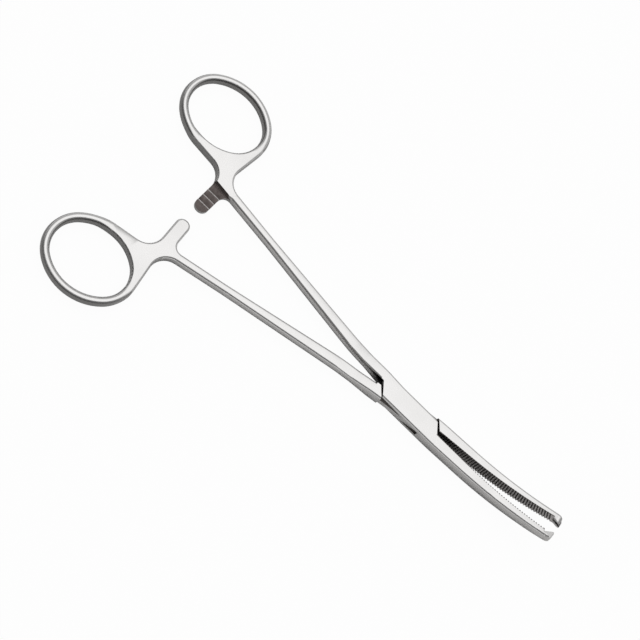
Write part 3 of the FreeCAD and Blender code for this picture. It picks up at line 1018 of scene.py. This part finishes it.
    def dress(self, piece: bpy.types.Object, maker: SteelMaker) -> None:
        """Give each region of the half its own finish, and round its edges' shading.

        Args:
            piece: The half's object.
            maker: Makes the materials.
        """
        self.round_ring(piece)
        mesh = piece.data
        slots = {}
        for region, (finish, patterns) in self.finishes().items():
            slots[region] = len(mesh.materials)
            mesh.materials.append(maker.make(f"{region.value} {self.node}", finish, self.closed, patterns))
        spots = [self.closed.inward(vertex.co) for vertex in mesh.vertices]
        counts = {region.value: 0 for region in slots}
        polished = []
        for face in mesh.polygons:
            corners = [spots[index] for index in face.vertices]
            region = self.region_of(corners, self.closed.inward(face.normal))
            face.material_index = slots[region]
            polished.append(region in (Region.SATIN, Region.JAW, Region.WALL, Region.CROTCH))
            counts[region.value] += 1
        curved = self.bend_normals(mesh, spots) | self.ring_normals(mesh, spots)
        RoundedShading(mesh, polished, curved).apply()
        LOG.info("%s faces: %s, %d rounded corners", self.name, counts, len(curved))


@dataclass
class LockRivet(SteelPiece):
    """The rivet through the lock, ground flush with the box."""

    def dress(self, piece: bpy.types.Object, maker: SteelMaker) -> None:
        """Give the rivet the finish of the box that it is ground down with.

        Args:
            piece: The rivet's object.
            maker: Makes the material.
        """
        piece.data.materials.append(maker.make("ground rivet", SATIN_FINISH, self.closed))
        RoundedShading(piece.data, [True] * len(piece.data.polygons), {}).apply()


@dataclass(frozen=True)
class PhotographView:
    """The camera, placed so that the lock's pivot falls where the photograph shows it.

    Attributes:
        lens: Focal length in pixels of the square frame.
        frame: Side of the square frame, in pixels.
        tilt: Turn of the instrument away from lying square to the camera, in degrees.
        tilt_axis: Direction of that turn's axis in the instrument's plane, in degrees.
        roll: Turn of the instrument in the frame, in degrees.
        pivot: Pixel of the lock's pivot.
        pixel: Length that one pixel covers at the pivot.
        pivot_height: Height of the lock's middle above the floor.
        sensor_mm: Width of the camera's sensor, in millimetres.
        clip: Nearest and farthest distance that the camera sees.
    """

    lens: float = 1750.0
    frame: float = 640.0
    tilt: float = -25.5
    tilt_axis: float = -6.7
    roll: float = 41.4
    pivot: tuple[float, float] = (407.0, 410.1)
    pixel: float = 0.278 * MM
    pivot_height: float = 2.65 * MM
    sensor_mm: float = 36.0
    clip: tuple[float, float] = (0.01, 20.0)

    def build(self) -> bpy.types.Object:
        """Add the camera and make it the scene's own.

        Returns:
            The camera object.
        """
        axis_angle = math.radians(self.tilt_axis)
        axis = Vector((math.cos(axis_angle), math.sin(axis_angle), 0.0))
        facing = Matrix.Diagonal((1.0, -1.0, -1.0))
        turned = Matrix.Rotation(-math.radians(self.roll), 3, "Z")
        tilted = Matrix.Rotation(math.radians(self.tilt), 3, axis)
        view = facing @ turned @ tilted
        distance = self.lens * self.pixel
        across = (self.pivot[0] - self.frame / 2) / self.lens * distance
        down = (self.pivot[1] - self.frame / 2) / self.lens * distance
        place = -(view.transposed() @ Vector((across, down, distance)))
        place.z += self.pivot_height
        data = bpy.data.cameras.new("photograph camera")
        data.sensor_width = self.sensor_mm
        data.lens = self.sensor_mm * self.lens / self.frame
        data.clip_start, data.clip_end = self.clip
        camera = bpy.data.objects.new("photograph camera", data)
        columns = Matrix((view[0], -view[1], -view[2])).transposed()
        camera.matrix_world = Matrix.Translation(place) @ columns.to_4x4()
        bpy.context.collection.objects.link(camera)
        bpy.context.scene.camera = camera
        return camera


@dataclass(frozen=True)
class Studio:
    """Pale floor, a soft bright ceiling with a dim horizon, and one soft lamp.

    Attributes:
        ceiling: Radiance of the ceiling.
        horizon: Radiance near the horizon in front.
        back_horizon: Radiance near the horizon behind the instrument.
        horizon_turn: Directions, as their Y, between which the horizon's level changes.
        cap_inner: Height of a direction, as its Z, above which the ceiling is at its brightest.
        cap_outer: Height of a direction below which only the horizon's level is left.
        floor_size: Side of the floor.
        floor_drop: Gap between the floor and the instrument.
        paper: Whiteness of the floor.
        camera_veil: Share of plain white that the camera sees in the floor.
        mirror_veil: Share of plain white that the steel reflects from the floor.
        lamp_power: Power of the lamp, in watts.
        lamp_size: Diameter of the lamp.
        lamp_place: Where the lamp is. It faces the lock.
    """

    ceiling: float = 1.48
    horizon: float = 0.20
    back_horizon: float = 0.60
    horizon_turn: tuple[float, float] = (-0.2, 0.5)
    cap_inner: float = 0.86
    cap_outer: float = 0.60
    floor_size: float = 3.0
    floor_drop: float = 0.02 * MM
    paper: float = 0.82
    camera_veil: float = 0.96
    mirror_veil: float = 0.05
    lamp_power: float = 0.6
    lamp_size: float = 0.5
    lamp_place: tuple[float, float, float] = (-0.25, 0.35, 0.75)

    def build(self) -> None:
        """Add the world, the floor and the lamp."""
        self._build_world()
        self._build_floor()
        self._build_lamp()

    def _build_world(self) -> None:
        """Soft ceiling for light and reflections, and white for the camera."""
        world = bpy.data.worlds.new("studio")
        bpy.context.scene.world = world
        world.use_nodes = True
        tree = world.node_tree
        tree.nodes.clear()
        link = tree.links.new
        place = tree.nodes.new("ShaderNodeTexCoord")
        parts = tree.nodes.new("ShaderNodeSeparateXYZ")
        link(place.outputs["Generated"], parts.inputs["Vector"])
        level = tree.nodes.new("ShaderNodeMapRange")
        level.interpolation_type = "SMOOTHSTEP"
        level.inputs["From Min"].default_value = self.cap_outer
        level.inputs["From Max"].default_value = self.cap_inner
        behind = tree.nodes.new("ShaderNodeMapRange")
        behind.inputs["From Min"].default_value = self.horizon_turn[0]
        behind.inputs["From Max"].default_value = self.horizon_turn[1]
        behind.inputs["To Min"].default_value = self.horizon
        behind.inputs["To Max"].default_value = self.back_horizon
        link(parts.outputs["Y"], behind.inputs["Value"])
        link(behind.outputs["Result"], level.inputs["To Min"])
        level.inputs["To Max"].default_value = self.ceiling
        link(parts.outputs["Z"], level.inputs["Value"])
        dome = tree.nodes.new("ShaderNodeBackground")
        link(level.outputs["Result"], dome.inputs["Strength"])
        white = tree.nodes.new("ShaderNodeBackground")
        path = tree.nodes.new("ShaderNodeLightPath")
        choice = tree.nodes.new("ShaderNodeMixShader")
        link(path.outputs["Is Camera Ray"], choice.inputs["Fac"])
        link(dome.outputs["Background"], choice.inputs[1])
        link(white.outputs["Background"], choice.inputs[2])
        out = tree.nodes.new("ShaderNodeOutputWorld")
        link(choice.outputs["Shader"], out.inputs["Surface"])

    def _build_floor(self) -> None:
        """Pale floor that keeps the instrument's shadow under a veil of white."""
        bpy.ops.object.select_all(action="DESELECT")
        bpy.ops.mesh.primitive_plane_add(size=self.floor_size, location=(0.0, 0.0, -self.floor_drop))
        floor = bpy.context.object
        floor.name = "studio floor"
        material = bpy.data.materials.new("studio floor paper")
        material.use_nodes = True
        tree = material.node_tree
        tree.nodes.clear()
        link = tree.links.new
        paper = tree.nodes.new("ShaderNodeBsdfDiffuse")
        paper.inputs["Color"].default_value = (self.paper, self.paper, self.paper, 1.0)
        veil = tree.nodes.new("ShaderNodeEmission")
        path = tree.nodes.new("ShaderNodeLightPath")
        seen = tree.nodes.new("ShaderNodeMath")
        seen.operation = "MULTIPLY"
        seen.inputs[1].default_value = self.camera_veil
        link(path.outputs["Is Camera Ray"], seen.inputs[0])
        mirrored = tree.nodes.new("ShaderNodeMath")
        mirrored.operation = "MAXIMUM"
        link(path.outputs["Is Glossy Ray"], mirrored.inputs[0])
        link(path.outputs["Is Transmission Ray"], mirrored.inputs[1])
        share = tree.nodes.new("ShaderNodeMath")
        share.operation = "MULTIPLY_ADD"
        share.inputs[1].default_value = self.mirror_veil
        link(mirrored.outputs["Value"], share.inputs[0])
        link(seen.outputs["Value"], share.inputs[2])
        mix = tree.nodes.new("ShaderNodeMixShader")
        link(share.outputs["Value"], mix.inputs["Fac"])
        link(paper.outputs["BSDF"], mix.inputs[1])
        link(veil.outputs["Emission"], mix.inputs[2])
        out = tree.nodes.new("ShaderNodeOutputMaterial")
        link(mix.outputs["Shader"], out.inputs["Surface"])
        floor.data.materials.append(material)

    def _build_lamp(self) -> None:
        """One broad soft lamp, up and to the side, for a little direction."""
        data = bpy.data.lights.new("soft lamp", "AREA")
        data.shape = "DISK"
        data.size = self.lamp_size
        data.energy = self.lamp_power
        lamp = bpy.data.objects.new("soft lamp", data)
        lamp.location = self.lamp_place
        lamp.rotation_euler = Vector(self.lamp_place).to_track_quat("Z", "Y").to_euler()
        lamp.visible_glossy = False
        bpy.context.collection.objects.link(lamp)


def select_only(piece: bpy.types.Object) -> None:
    """Select one object and make it the active one.

    Args:
        piece: The object.
    """
    bpy.ops.object.select_all(action="DESELECT")
    piece.select_set(True)
    bpy.context.view_layer.objects.active = piece


def main() -> None:
    logging.basicConfig(level=logging.INFO, format="%(name)s: %(message)s")
    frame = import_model()
    bpy.context.scene.view_settings.view_transform = "Standard"
    PhotographView().build()
    Studio().build()
    maker = SteelMaker(NodeGroups())
    pieces: list[ForgedHalf | LockRivet] = [
        ForgedHalf(
            node="box_half", body="box_body", slot="forged_steel", name="box_half_satin",
            closed=BOX_FRAME, bar_face=2.61 * MM, bar_root=2.11 * MM,
        ),
        ForgedHalf(
            node="tongue_half", body="tongue_body", slot="forged_steel", name="tongue_half_satin",
            closed=TONGUE_FRAME, bar_face=2.69 * MM, bar_root=3.19 * MM,
        ),
        LockRivet(
            node="lock_rivet", body="box_body", slot="rivet_steel", name="lock_rivet_ground",
            closed=BOX_FRAME,
        ),
    ]
    for part in pieces:
        piece = part.build(frame["nodes"][part.node])
        part.dress(piece, maker)
        part.place(piece)
        LOG.info("%s: %d faces", part.name, len(piece.data.polygons))


if __name__ == "__main__":
    main()
